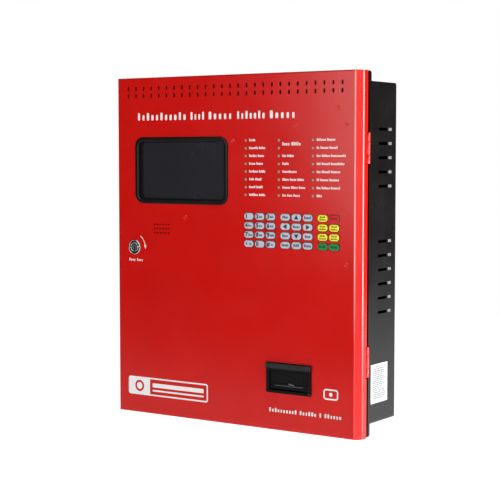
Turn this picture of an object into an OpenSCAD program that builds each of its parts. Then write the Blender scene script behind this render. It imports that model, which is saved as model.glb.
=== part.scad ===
// Wall-mounted fire alarm control panel: steel cabinet, hinged door, keypad, lamps, display, printer.
// The origin is the centre of the four wall holes on the back face. +X is right, +Y is into the wall
// and +Z is up. Everything is drawn at rest: door shut, lock turned to open, keys out.

/* [Cabinet] */
// Width of the door and of the cabinet rim
panel_w = 417; // [412:1:424]
// Height of the door and of the cabinet rim
panel_h = 500; // [496:1:510]
// Depth from the wall to the front of the door
panel_d = 124; // [122:1:130]
// How far the cabinet stands in from the rim on every side
step_in = 12.5; // [11:0.5:14]
// Thickness of the sheet steel
sheet = 1.5; // [1.2:0.1:1.6]

/* [Door] */
// Depth of the door pan
door_depth = 21; // [20:0.5:21.5]
// Width of the slanted band on the hinge side, seen from the front
bevel_w = 8; // [7:0.5:9]
// Depth of the slanted band
bevel_d = 11; // [10:0.5:12]
// Length of each hinge
hinge_h = 42; // [38:1:46]
// Distance of the hinges from mid height
hinge_z = 145.5; // [140:0.5:150]

/* [Keypad] */
// Width of a key
key_w = 16; // [15:0.25:16.25]
// Height of a key
key_h = 9.8; // [9:0.1:10]
// Distance between key columns
key_pitch_x = 18.3; // [18:0.1:18.5]
// Distance between key rows
key_pitch_z = 12.9; // [12.8:0.1:13.2]
// How far a key stands out of the door
key_out = 1.5; // [1:0.1:2]
// How far a key can be pressed
key_travel = 1.2; // [0.8:0.1:1.2]

/* [Lamps and vents] */
// Diameter of an indicator lamp
lamp_d = 3; // [2.6:0.1:3.2]
// Distance between lamp columns
lamp_pitch_x = 55.6; // [55:0.1:56]
// Distance between lamps in a column
lamp_pitch_z = 10.95; // [10.5:0.05:11]
// Distance between vent slots along a row
vent_pitch = 14.17; // [14:0.01:14.3]

/* [Printer] */
// Width of the printer's front
printer_w = 74; // [74:1:78]
// Height of the printer's front
printer_h = 43.2; // [43.2:0.4:45]
// Diameter of the paper roll
roll_d = 27; // [22:1:27]

/* [Hidden] */
$fa = 6;
$fs = 0.4;

door_front = -panel_d;
door_inner = door_front + sheet;
door_back = door_front + door_depth;
door_gap = 8;
rim_front = door_back + door_gap;
rim_back = rim_front + sheet;
rim_r = 3.5;
rim_band = 20;
lip_h = 4;
box_w = panel_w - 2 * step_in;
box_h = panel_h - 2 * step_in;
box_r = 3;
wall_hole_x = 178;
wall_hole_z = 215;
wall_hole_r = 3.5;

// Hinges
knuckle_r = 3.75;
knuckle_h = 12;
knuckle_gap = 0.4;
pin_r = 2;
pin_fit = 0.07;
leaf = 1.8;
leaf_l = 16;
hinge_notch = [10, 4];
hinge_x = panel_w / 2 - 2.5;
hinge_y = rim_front - 4.1;
hinge_zs = [-hinge_z, hinge_z];

// Slots in the cabinet sides, each with a tab at its rear end that slopes inwards
louvre_l = 37;
louvre_h = 4;
tab_bend = [2, 5];
tab_tip = [3.2, 6.6];
louvre_y = -31.5;
louvre_pitch = 19.8;
louvre_zs = concat([for (i = [0:4]) 172 - i * louvre_pitch], [for (i = [0:5]) 16 - i * louvre_pitch]);

// Door holes
vent_w = 3.2;
vent_h = 6.4;
vent_count = 27;
vent_x0 = -187.6;
vent_zs = [panel_h / 2 - 16.1, panel_h / 2 - 27];
window_pos = [-90.8, 113.5];
window_size = [168.5, 98];
window_r = 14;
lamp_pos = [23.8, 156.7];
lamps = [for (i = [0:2], j = [0:7]) lamp_pos + [i * lamp_pitch_x, -j * lamp_pitch_z]];
lamp_out = 0.4;
hole_gap = 0.35;
buzzer_pos = [-126.4, 27.9];
buzzer_pitch = [5.15, 6.2];
buzzer_r = 15;
sound_hole_r = 1.35;
lock_pos = [-177, -1];
lock_barrel_r = 9;
lock_plug_r = 6;
lock_fit = 0.05;
lock_rear = rim_back + 0.3;
cam_y = lock_rear + 0.4;
cam_t = 2;
cam_w = 11;
cam_reach = [-6, 16.2];
cam_square = 6.4;

// Keys: digits, arrows and menu, coloured commands
block_x = [29.8, 90.7, 151.2];
key_top = 50.1;
key_r = 2.4;
key_free = 0.4;
flange_over = [1.5, 2.2];
flange_t = 1;
plunger = [4, 1.5];
digit_names = ["1", "2", "3", "4", "5", "6", "7", "8", "9", "star", "0", "hash"];
menu_names = ["mute", "up", "print", "left", "enter", "right",
    "back", "down", "page", "start", "menu", "cancel"];
command_names = ["check", "stop", "sounder", "relay", "zone", "record", "test", "reset"];
KEYS = concat(
    [for (i = [0:11]) [str("key_", digit_names[i]), 0, i % 3, floor(i / 3), "lightsteelblue"]],
    [for (i = [0:11]) [str("key_", menu_names[i]), 1, i % 3, floor(i / 3), "lightsteelblue"]],
    [for (i = [0:7]) [str("key_", command_names[i]), 2, i % 2, floor(i / 2),
        i == 1 ? "red" : i > 5 ? "green" : "gold"]]);

// Boards behind the door
front_board_box = [[8, -18], [194, 183]];
board_front = door_inner + 8;
board_t = 1.6;
stud_r = 1.5;
stud_l = 14;
board_studs = [[188, 177], [188, 55], [188, -12], [106, 176.5], [14, -12]];
frame_studs = [[-83.2, 45.7], [1.2, 156]];
lens_y = door_inner + 0.1;
lens_t = 2;
lens_border = 6;
module_size = [165, 100];
module_t = 7;
module_y = lens_y + lens_t + 0.4;
arm_t = 2;

// Printer
printer_pos = [96.6, -175.1];
printer_out = 2;
bar_h = 11;
bar_out = 4;
bay_wall = 1.6;
bay_margin = [5.4, 4];
bay_w = printer_w - 2 * bay_margin[0];
bay_h = printer_h - 2 * bay_margin[1];
bay_floor = printer_pos[1] - bay_h / 2;
bay_back = -71.5;
flap_w = bay_w - 1.2;
flap_t = 1.8;
flap_top = printer_pos[1] + printer_h / 2 - bar_h - 0.6;
flap_axis = [door_front + 2, bay_floor + 2.2];
flap_ear = 2;
flap_pin_r = 1.5;
platen_r = 4;
platen_axis = flap_axis + [5.2, 20.6];
axle_r = 1.5;
axle_fit = 0.05;
roll_w = 57;
roll_axis = [-86, bay_floor + 14.3];
core_r = 6;
core_fit = 0.08;

// Inside the cabinet
plate_x = 170;
plate_zs = [-115, 215];
plate_y = -9;
boss_r = 4;
boss_x = 155;
boss_zs = [-105, 205];
board_y = plate_y - sheet - 6;
main_board_box = [[-150, 30], [100, 200]];
board_hole_in = 6;
supply_box = [[-150, -95], [9, 3]];
supply_t = 40;
supply_well = 18;
battery = [151, 65, 94];
battery_xs = [-159, 8];
battery_floor = 0.4;
screw_r = 1.9;
screw_head = [3.8, 2.4];
entry_r = 11;
entry_y = -47;
entry_pitch = 52;
entry_xs = [for (i = [-2.5:2.5]) i * entry_pitch];

// Outlines

function unit(v) = v / norm(v);
function left(v) = [-v[1], v[0]];
function before(pts, i) = pts[(i + len(pts) - 1) % len(pts)];
function after(pts, i) = pts[(i + 1) % len(pts)];
function turn(a) = a > 180 ? a - 360 : a < -180 ? a + 360 : a;

// Arc of radius r that rounds the corner p between its neighbours a and b
function corner(a, p, b, r, n) =
    let (u = unit(a - p), v = unit(b - p), half = acos(u * v) / 2,
         c = p + unit(u + v) * r / sin(half),
         s = p + u * r / tan(half) - c, e = p + v * r / tan(half) - c,
         a0 = atan2(s[1], s[0]), sweep = turn(atan2(e[1], e[0]) - a0))
    [for (i = [0:n]) c + r * [cos(a0 + sweep * i / n), sin(a0 + sweep * i / n)]];
function rounded(pts, r, n = 6) =
    [for (i = [0:len(pts) - 1]) each corner(before(pts, i), pts[i], after(pts, i), r, n)];
// Convex counter-clockwise outline with every edge moved in by t
function inset(pts, t) =
    [for (i = [0:len(pts) - 1])
        let (m = left(unit(pts[i] - before(pts, i))), n = left(unit(after(pts, i) - pts[i])))
        pts[i] + t * (m + n) / (1 + m * n)];
function grow(size, t) = size + 2 * [t, t];
function rect(w, h) = [[-w / 2, -h / 2], [w / 2, -h / 2], [w / 2, h / 2], [-w / 2, h / 2]];
function block(b) = [[b[0][0], b[0][1]], [b[1][0], b[0][1]], [b[1][0], b[1][1]], [b[0][0], b[1][1]]];

module round_rect(size, r) {
    polygon(rounded(rect(size[0], size[1]), r));
}
module slot(w, h) {
    square([w, h - w], center = true);
    for (s = [-1, 1]) translate([0, s * (h - w) / 2]) circle(w / 2);
}

// Upright outline in x and z, thick from y0 to y1
module along_y(y0, y1) {
    translate([0, y1, 0]) rotate([90, 0, 0]) linear_extrude(y1 - y0) children();
}
// Side outline in y and z, wide from x0 to x1
module along_x(x0, x1) {
    translate([x0, 0, 0]) rotate([90, 0, 90]) linear_extrude(x1 - x0) children();
}
// Round bar along y at p = [x, z]
module rod_y(p, r, y0, y1) {
    along_y(y0, y1) translate(p) circle(r);
}
// Round bar along x at p = [y, z]
module rod_x(p, r, x0, x1) {
    along_x(x0, x1) translate(p) circle(r);
}
module plate_xz(b, y0, y1) {
    along_y(y0, y1) polygon(block(b));
}

// Cabinet

module box_outline(extra) {
    round_rect(grow([box_w, box_h], extra), box_r + extra);
}
module rim_ring(inner, y0, y1) {
    along_y(y0, y1) difference() {
        round_rect([panel_w, panel_h], rim_r);
        round_rect(inner, rim_r - sheet);
    }
}
// Tab of wall left at the rear of a slot and pressed inwards, seen from above
module louvre_tab(z) {
    y1 = louvre_y + louvre_l / 2;
    back = 0.7 * sheet;
    translate([box_w / 2, 0, z - louvre_h / 2]) linear_extrude(louvre_h) polygon([
        [0, y1 + 0.2], [0, y1], [-tab_bend[0], y1 - tab_bend[1]], [-tab_tip[0], y1 - tab_tip[1]],
        [-tab_tip[0] - back, y1 - tab_tip[1] + back], [-tab_bend[0] - sheet, y1 - tab_bend[1] + back],
        [-sheet, y1 + 0.2]]);
}
module louvre_hole(z) {
    translate([box_w / 2 - sheet - 1, louvre_y - louvre_l / 2, z - louvre_h / 2])
        cube([sheet + 2, louvre_l, louvre_h]);
}
module sides() {
    children();
    mirror([1, 0, 0]) children();
}
module entry_hole(x) {
    translate([x, entry_y, box_h / 2 - sheet - 1]) cylinder(r = entry_r, h = sheet + 2);
}
module boss_spots() {
    for (x = [-boss_x, boss_x], z = boss_zs) translate([x, 0, z]) children();
}

module back_box() {
    color("#2b2828") difference() {
        union() {
            difference() {
                along_y(rim_back, 0) box_outline(0);
                along_y(rim_back - 1, -sheet) box_outline(-sheet);
                sides() for (z = louvre_zs) louvre_hole(z);
                for (x = entry_xs) entry_hole(x);
            }
            rim_ring(grow([panel_w, panel_h], -rim_band), rim_front, rim_back);
            rim_ring(grow([panel_w, panel_h], -sheet), rim_front - lip_h, rim_front);
            sides() for (z = louvre_zs) louvre_tab(z);
            boss_spots() rod_y([0, 0], boss_r, plate_y, -sheet);
        }
        for (x = [-wall_hole_x, wall_hole_x], z = [-wall_hole_z, wall_hole_z])
            rod_y([x, z], wall_hole_r, -sheet - 1, 1);
        boss_spots() rod_y([0, 0], screw_r + 0.1, plate_y - 1, plate_y + 6);
        hinge_notches(rim_front - lip_h - 1, rim_front);
    }
}

// Where the hinges pass through a folded edge
module hinge_notches(y0, y1) {
    for (z = hinge_zs) translate([hinge_x - hinge_notch[1], y0, z - hinge_h / 2 - 1])
        cube([hinge_notch[0], y1 - y0, hinge_h + 2]);
}
// Blanking plug: a cap outside and a hollow skirt through the hole
module entry_plugs() {
    z = box_h / 2;
    skirt = 4;
    wall = 1.6;
    color("#1b1b1c") for (x = entry_xs) translate([x, entry_y, 0]) {
        translate([0, 0, z]) cylinder(r = entry_r + 2.5, h = 2);
        translate([0, 0, z - sheet - skirt]) difference() {
            cylinder(r = entry_r - 0.2, h = sheet + skirt);
            translate([0, 0, -1]) cylinder(r = entry_r - 0.2 - wall, h = skirt + 1);
        }
    }
}

// Hinges: end knuckles on the box leaf, middle knuckle on the door leaf

module knuckle(z0, z1, bore) {
    translate([hinge_x, hinge_y, z0]) difference() {
        cylinder(r = knuckle_r, h = z1 - z0);
        translate([0, 0, -1]) cylinder(r = bore, h = z1 - z0 + 2);
    }
}
module box_hinge_leaves() {
    reach = knuckle_r + knuckle_gap;
    color("#c41a14") for (z = hinge_zs) {
        for (s = [-1, 1]) {
            end = z + s * hinge_h / 2;
            inner = end - s * knuckle_h;
            knuckle(min(end, inner), max(end, inner), pin_r);
            translate([hinge_x - reach - 0.01, rim_front - leaf, min(end, inner)]) difference() {
                cube([reach, leaf, knuckle_h]);
                translate([reach, hinge_y - rim_front + leaf, -1])
                    cylinder(r = pin_r + 1, h = knuckle_h + 2);
            }
        }
        translate([hinge_x - leaf_l, rim_front - leaf, z - hinge_h / 2])
            cube([leaf_l - reach, leaf, hinge_h]);
    }
}
module hinge_pins() {
    color("#c41a14") for (z = hinge_zs)
        translate([hinge_x, hinge_y, z - hinge_h / 2]) cylinder(r = pin_r, h = hinge_h);
}
module door_hinge_leaves() {
    h = hinge_h / 2 - knuckle_h - knuckle_gap;
    x1 = panel_w / 2 - sheet;
    y0 = door_front + bevel_d + sheet;
    y1 = door_back - 2;
    color("#c41a14") for (z = hinge_zs) {
        knuckle(z - h, z + h, pin_r + pin_fit);
        difference() {
            union() {
                translate([x1 - leaf, y0, z - h]) cube([leaf, hinge_y - y0, 2 * h]);
                translate([x1 - leaf, y0, z - hinge_h / 2]) cube([leaf, y1 - y0, hinge_h]);
            }
            translate([hinge_x, hinge_y, z - h - 1]) cylinder(r = pin_r + 1, h = 2 * h + 2);
        }
    }
}

// Inside the cabinet

module mounting_plate() {
    spacer_r = 3.5;
    tie_slots = [for (x = [40:20:140]) [x, -50]];
    color("#b9bcbf") difference() {
        union() {
            plate_xz([[-plate_x, plate_zs[0]], [plate_x, plate_zs[1]]], plate_y - sheet, plate_y);
            board_spots() rod_y([0, 0], spacer_r, board_y, plate_y - sheet / 2);
        }
        boss_spots() rod_y([0, 0], screw_r + 0.3, plate_y - sheet - 1, plate_y + 1);
        board_spots() rod_y([0, 0], screw_r + 0.1, board_y - 1, board_y + 5);
        for (p = tie_slots) along_y(plate_y - sheet - 1, plate_y + 1) translate(p) slot(6, 40);
    }
}
module board_spots() {
    b = main_board_box;
    for (x = [b[0][0] + board_hole_in, b[1][0] - board_hole_in],
         z = [b[0][1] + board_hole_in, b[1][1] - board_hole_in]) translate([x, 0, z]) children();
}
// A block on the front of a board: low corner, [width, height] and how far it stands out
module board_part(p, size, out, face) {
    plate_xz([p, p + size], face - out, face);
}
module main_board() {
    face = board_y - board_t;
    relay = [16, 20];
    chip = [26, 26];
    header = [22, 8];
    sink_p = [-140, 66];
    sink = [44, 4];
    fin = [1.6, 10];
    can_r = 7;
    color("#1d5a34") difference() {
        plate_xz(main_board_box, face, board_y);
        board_spots() rod_y([0, 0], screw_r + 0.3, face - 1, board_y + 1);
    }
    // relays
    color("#232323") for (i = [0:5]) board_part([-128 + i * 22, 152], relay, 15, face);
    // filter capacitors
    color("#2a3152") for (i = [0:3]) rod_y([70, 128 - i * 20], can_r, face - 20, face);
    // controller chips
    color("#2b2b2d") for (i = [0:2]) board_part([-120 + i * 45, 92], chip, 2.4, face);
    // regulator on a finned heat sink
    color("#8d9093") {
        board_part(sink_p, sink, 22, face);
        for (i = [0:5]) board_part(sink_p + [1 + i * 8, sink[1]], fin, 22, face);
    }
    // plug headers
    color("#e4e0d2") for (i = [0:2]) board_part([-20 + i * 28, 66], header, 9, face);
}
module terminal_blocks() {
    face = board_y - board_t;
    size = [30, 11];
    pitch = 5;
    way_r = 1.6;
    color("#2f7d46") for (z = [182, 36], i = [0:5]) {
        p = [-136 + i * 36, z];
        difference() {
            board_part(p, size, 14, face);
            for (j = [0:5]) rod_y(p + [(j + 0.5) * pitch, size[1] / 2], way_r, face - 15, face - 10);
        }
    }
}
module power_supply() {
    b = supply_box;
    back = plate_y - sheet;
    front = back - supply_t;
    foot = [12, 20];
    foot_z = b[0][1] + 12;
    vent_r = 2;
    well_x = b[1][0] - 20;
    color("#c3c6c8") difference() {
        union() {
            plate_xz(b, front, back);
            plate_xz([[b[0][0] - foot[0], foot_z], [b[1][0] + foot[0], foot_z + foot[1]]],
                back - 1.2, back);
        }
        plate_xz([[well_x, b[0][1] + 6], [b[1][0] + 1, b[1][1] - 6]], front - 1, back - supply_well);
        for (i = [0:11], j = [0:5])
            rod_y([b[0][0] + 14 + i * 10, b[0][1] + 22 + j * 11], vent_r, front - 1, front + 1.2);
        for (x = [b[0][0] - foot[0] / 2, b[1][0] + foot[0] / 2])
            rod_y([x, foot_z + foot[1] / 2], screw_r + 0.3, back - 2, back + 1);
    }
    // terminal block in the open end
    color("#222222") plate_xz([[well_x + 4, b[0][1] + 10], [b[1][0] - 3, b[1][1] - 10]],
        back - supply_well - 12, back - supply_well);
}
module batteries() {
    z0 = -box_h / 2 + sheet + battery_floor;
    y1 = -sheet - 1;
    lid_h = 14;
    seam = 1.2;
    tab = [6, 0.8, 6.5];
    for (x = battery_xs) {
        color("#35373b") difference() {
            translate([x, y1 - battery[1], z0]) cube(battery);
            translate([x - 1, y1 - battery[1] - 1, z0 + battery[2] - lid_h])
                cube([battery[0] + 2, 2, seam]);
        }
        color("#c9a227") for (d = [18, battery[0] - 18 - tab[0]])
            translate([x + d, y1 - lid_h, z0 + battery[2]]) cube(tab);
    }
}
module battery_bracket() {
    z0 = -box_h / 2 + sheet;
    y0 = -sheet - 1 - battery[1] - 0.6;
    upright = 24;
    foot = 16;
    color("#b9bcbf") difference() {
        union() {
            translate([-plate_x, y0 - sheet, z0]) cube([2 * plate_x, sheet, upright]);
            translate([-plate_x, y0 - foot, z0]) cube([2 * plate_x, foot, sheet]);
        }
        for (x = [-140, 0, 140]) translate([x, y0 - sheet - foot / 2, z0 - 1])
            cylinder(r = screw_r + 0.3, h = sheet + 2);
    }
}
module screw() {
    cylinder(r = screw_head[0], h = screw_head[1]);
    translate([0, 0, -5]) cylinder(r = screw_r, h = 5.1);
}
module box_screws() {
    color("#d0d2d4") {
        boss_spots() translate([0, plate_y - sheet, 0]) rotate([90, 0, 0]) screw();
        board_spots() translate([0, board_y - board_t, 0]) rotate([90, 0, 0]) screw();
    }
}

// Door

function door_plan(back) = [
    [-panel_w / 2, door_front], [panel_w / 2 - bevel_w, door_front],
    [panel_w / 2, door_front + bevel_d], [panel_w / 2, back], [-panel_w / 2, back]];
function door_side(back) = [
    [door_front, -panel_h / 2], [back, -panel_h / 2], [back, panel_h / 2], [door_front, panel_h / 2]];

// The pan's shape with every face moved in by t, reaching back to y = back
module door_shape(t, r, back) {
    intersection() {
        translate([0, 0, -panel_h]) linear_extrude(2 * panel_h)
            intersection() {
                polygon(rounded(inset(door_plan(back + 20), t), r, 4));
                translate([-panel_w, -2 * panel_d]) square([2 * panel_w, back + 2 * panel_d]);
            }
        along_x(-panel_w, panel_w) polygon(rounded(inset(door_side(back + 20), t), r, 4));
    }
}
module vent_holes() {
    for (i = [0:vent_count - 1], z = vent_zs) translate([vent_x0 + i * vent_pitch, z]) slot(vent_w, vent_h);
}
module buzzer_holes() {
    for (i = [-2.5:2.5], j = [-1:1])
        translate(buzzer_pos + [i * buzzer_pitch[0], j * buzzer_pitch[1]]) circle(sound_hole_r);
}
function key_spot(k) = [block_x[k[1]] + k[2] * key_pitch_x, key_top - k[3] * key_pitch_z];

module at_key(k) {
    translate(key_spot(k)) children();
}

module door_panel() {
    lip = 10;
    color("#c81d17") {
        difference() {
            door_shape(0, 2.5, door_back);
            door_shape(sheet, 1, door_back - sheet);
            translate([-panel_w / 2 + lip, door_back - sheet - 1, -panel_h / 2 + lip])
                cube([panel_w - lip - sheet, sheet + 2, panel_h - 2 * lip]);
            along_y(door_front - 1, door_inner + 1) {
                vent_holes();
                translate(window_pos) round_rect(window_size, window_r);
                for (p = lamps) translate(p) circle(lamp_d / 2 + 0.1);
                for (k = KEYS) at_key(k) round_rect(grow([key_w, key_h], hole_gap), key_r);
                buzzer_holes();
                translate(lock_pos) circle(lock_barrel_r + 0.1);
                translate(printer_pos) square(grow([bay_w, bay_h], bay_wall + 0.3), center = true);
            }
            hinge_notches(door_back - 2, door_back + 1);
        }
        for (p = concat(board_studs, frame_studs)) rod_y(p, stud_r, door_inner - 0.1, door_inner + stud_l);
    }
}
// Foam strip on the folded edge along the left, the top and the bottom
module door_gasket() {
    edge = 3;
    w = 6;
    color("#191919") along_y(door_back, rim_front - 0.5) difference() {
        square(grow([panel_w, panel_h], -edge), center = true);
        square(grow([panel_w, panel_h], -edge - w), center = true);
        translate([hinge_x - leaf_l - edge, -panel_h / 2]) square([2 * leaf_l, panel_h]);
    }
}
module display_window() {
    color("#3a4046", 0.6) along_y(lens_y, lens_y + lens_t) translate(window_pos)
        round_rect(grow(window_size, lens_border), 3);
}
module display_module() {
    y1 = module_y + module_t;
    bracket = [60, 90];
    driver = [44, 90];
    color("#5b6166") difference() {
        union() {
            along_y(module_y, y1) translate(window_pos) square(module_size, center = true);
            // rear bracket with arms that reach the two studs
            along_y(y1, y1 + arm_t) {
                translate(window_pos) square(bracket, center = true);
                translate([frame_studs[0][0] - 9, frame_studs[0][1] - 7]) square([18, 30]);
                translate([window_pos[0], frame_studs[1][1] - 8])
                    square([frame_studs[1][0] + 5 - window_pos[0], 16]);
            }
        }
        for (p = frame_studs) rod_y(p, stud_r + 0.2, y1 - 1, y1 + arm_t + 1);
    }
    color("#1d5a34") along_y(y1, y1 + board_t) translate(window_pos - [78, driver[1] / 2]) square(driver);
}
module lamp_dome() {
    intersection() {
        translate([0, 0, -lamp_d / 2]) sphere(r = lamp_d / 2 * sqrt(2));
        cylinder(r = lamp_d / 2, h = lamp_d);
    }
}
module indicator_lenses() {
    tip = door_front - lamp_out;
    color("#bfe8dc") for (p = lamps) {
        rod_y(p, lamp_d / 2, tip, door_inner + 2);
        rod_y(p, lamp_d / 2 + 0.8, door_inner, door_inner + 1);
        translate([p[0], tip, p[1]]) rotate([90, 0, 0]) lamp_dome();
    }
}
module front_board() {
    color("#1d5a34") difference() {
        plate_xz(front_board_box, board_front, board_front + board_t);
        for (p = board_studs) rod_y(p, stud_r + 0.2, board_front - 1, board_front + board_t + 1);
    }
    // lamps under the lenses
    color("#e8ecef") for (p = lamps) rod_y(p, lamp_d / 2, door_inner + 2.3, board_front);
    // key switches, each with a round button
    button_y = door_inner + key_free + flange_t + plunger[1] + key_travel + key_free;
    body_y = button_y + 1.2;
    color("#2a2a2c") for (k = KEYS) {
        along_y(body_y, board_front) at_key(k) square(6, center = true);
        rod_y(key_spot(k), 1.7, button_y, body_y);
    }
    // chips and plug headers on the back
    back = board_front + board_t;
    color("#2b2b2d") {
        board_part([40, 90], [26, 26], 2.4, back + 2.4);
        board_part([100, 98], [18, 12], 2.4, back + 2.4);
    }
    color("#e4e0d2") {
        board_part([24, 70], [50, 8], 9, back + 9);
        board_part([120, 70], [30, 8], 9, back + 9);
    }
}
module buzzer() {
    y0 = door_inner + 0.3;
    ear = [21, 4];
    color("#202022") difference() {
        union() {
            rod_y(buzzer_pos, buzzer_r, y0, y0 + 10);
            plate_xz([buzzer_pos - ear, buzzer_pos + ear], y0, y0 + 2.5);
        }
        rod_y(buzzer_pos, buzzer_r - 6, y0 - 1, y0 + 3);
    }
}
module door_nuts() {
    color("#d0d2d4") {
        for (p = board_studs) nut(p, board_front + board_t);
        for (p = frame_studs) nut(p, module_y + module_t + arm_t);
    }
}
module nut(p, y) {
    along_y(y, y + 2.4) translate(p) difference() {
        circle(3.2, $fn = 6);
        circle(stud_r);
    }
}

// Lock, drawn in line with the barrel

module lock_barrel() {
    color("#d4d6d8") difference() {
        union() {
            rod_y(lock_pos, lock_barrel_r, door_front - 1, lock_rear);
            rod_y(lock_pos, lock_barrel_r + 2, door_front - 1.8, door_front);
            along_y(door_inner, door_inner + 4) translate(lock_pos) circle(lock_barrel_r * 1.5, $fn = 6);
        }
        rod_y(lock_pos, lock_plug_r + lock_fit, door_front - 5, lock_rear + 5);
    }
}
module lock_plug() {
    cam_back = cam_y + cam_t;
    keyway = [1.6, 7.6];
    color("#b9bcbf") difference() {
        union() {
            rod_y(lock_pos, lock_plug_r, door_front - 1.4, cam_y);
            along_y(cam_y, cam_back) translate(lock_pos) square(cam_square, center = true);
            along_y(cam_back, cam_back + 2.4) translate(lock_pos) circle(5, $fn = 6);
        }
        along_y(door_front - 2, door_front + 8) translate(lock_pos) square(keyway, center = true);
    }
}
module lock_cam() {
    w = cam_w / 2;
    color("#c8cacc") along_y(cam_y, cam_y + cam_t) translate(lock_pos) difference() {
        polygon(rounded(block([[-w, cam_reach[0]], [w, cam_reach[1]]]), 2.5));
        square(cam_square, center = true);
    }
}

// Printer

module printer_frame() {
    p = printer_pos;
    x0 = p[0] - printer_w / 2;
    bar_front = door_front - bar_out;
    bar_z = p[1] + printer_h / 2 - bar_h;
    hinge_l = bay_w / 2 + 1.2;
    stub_l = 6;
    color("#161617") {
        difference() {
            union() {
                along_y(door_front - printer_out, door_front) translate(p)
                    round_rect([printer_w, printer_h], 2);
                // bar along the top, softened at the front
                along_x(x0, x0 + printer_w) polygon([
                    [door_front, bar_z], [door_front, bar_z + bar_h], [bar_front + 2, bar_z + bar_h],
                    [bar_front, bar_z + bar_h - 2.5], [bar_front, bar_z + 1.5], [bar_front + 1.5, bar_z]]);
                along_y(door_front, bay_back + bay_wall) translate(p)
                    square(grow([bay_w, bay_h], bay_wall), center = true);
            }
            along_y(door_inner - 2, bay_back) translate(p) square([bay_w, bay_h], center = true);
            translate([p[0] - bay_w / 2, door_front - 10, bay_floor]) cube([bay_w, 12, bar_z - bay_floor]);
            rod_x(flap_axis, flap_pin_r + axle_fit, p[0] - hinge_l, p[0] + hinge_l);
        }
        // stubs that hold the paper roll
        for (s = [-1, 1]) {
            wall = p[0] + s * bay_w / 2;
            tip = wall - s * stub_l;
            rod_x(roll_axis, core_r - core_fit, min(wall, tip), max(wall, tip));
        }
    }
}
module printer_mechanism() {
    x = printer_pos[0];
    w = 28;
    y0 = platen_axis[0] + platen_r + 0.6;
    z0 = platen_axis[1] - 3.5;
    z1 = bay_floor + bay_h;
    color("#3c3d40") along_x(x - w, x + w) polygon([[y0, z0], [y0 + 9, z0], [y0 + 11, z1], [y0, z1]]);
}
module printer_flap() {
    x0 = printer_pos[0];
    a = flap_axis;
    front = a[0] - flap_t;
    ear_y = platen_axis[0] + 2.6;
    lip = 1.4;
    color("#161617") difference() {
        union() {
            along_x(x0 - flap_w / 2, x0 + flap_w / 2) {
                translate(a) circle(flap_t);
                translate([front, a[1]]) square([flap_t, flap_top - a[1]]);
                // finger lip
                polygon([[front, a[1] + 5], [front - lip, a[1] + 5.6],
                    [front - lip, a[1] + 7.4], [front, a[1] + 8]]);
            }
            // ears that carry the platen, and the hinge pins
            for (s = [-1, 1]) {
                x = x0 + s * flap_w / 2;
                along_x(min(x, x - s * flap_ear), max(x, x - s * flap_ear)) polygon([
                    [a[0] - 0.5, a[1] + 6], [ear_y, platen_axis[1] - 4],
                    [ear_y, platen_axis[1] + 2.6], [a[0] - 0.5, platen_axis[1] + 3.5]]);
                rod_x(a, flap_pin_r, min(x - s, x + s * 1.6), max(x - s, x + s * 1.6));
            }
        }
        rod_x(platen_axis, axle_r + axle_fit, x0 - bay_w, x0 + bay_w);
    }
}
module platen_roller() {
    x = printer_pos[0];
    axle_l = flap_w / 2 - 0.2;
    roller_l = axle_l - flap_ear - 1.3;
    color("#4a4b4e") rod_x(platen_axis, platen_r, x - roller_l, x + roller_l);
    color("#b9bcbf") rod_x(platen_axis, axle_r, x - axle_l, x + axle_l);
}
module paper_roll() {
    x = printer_pos[0];
    color("#f2f0ea") along_x(x - roll_w / 2, x + roll_w / 2) translate(roll_axis) difference() {
        circle(roll_d / 2);
        circle(core_r);
    }
}

// One key, with its guide flange behind the door and its plunger
module push_key(k) {
    back = door_inner + key_free;
    color(k[4]) {
        along_y(door_front - key_out, back + 0.1) at_key(k) round_rect([key_w, key_h], key_r - 0.3);
        along_y(back, back + flange_t) at_key(k) square([key_w, key_h] + flange_over, center = true);
        along_y(back + flange_t, back + flange_t + plunger[1]) at_key(k) square(plunger[0], center = true);
    }
}

back_box();
entry_plugs();
box_hinge_leaves();
hinge_pins();
mounting_plate();
main_board();
terminal_blocks();
power_supply();
batteries();
battery_bracket();
box_screws();
door_panel();
door_hinge_leaves();
door_gasket();
display_window();
display_module();
indicator_lenses();
front_board();
buzzer();
door_nuts();
lock_barrel();
lock_plug();
lock_cam();
printer_frame();
printer_mechanism();
printer_flap();
platen_roller();
paper_roll();
for (k = KEYS) push_key(k);
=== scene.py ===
"""Looks for a wall-mounted fire alarm control panel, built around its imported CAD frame.

Everything is in the frame's own coordinates, in metres: the origin is the centre of the four wall
holes, +X is right, +Y is into the wall and +Z is up. Prints and small parts are laid out in
millimetres on the door's front and turned into metres by MM.
"""

import math
import random

import bmesh
import bpy
from mathutils import Matrix, Vector

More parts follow.
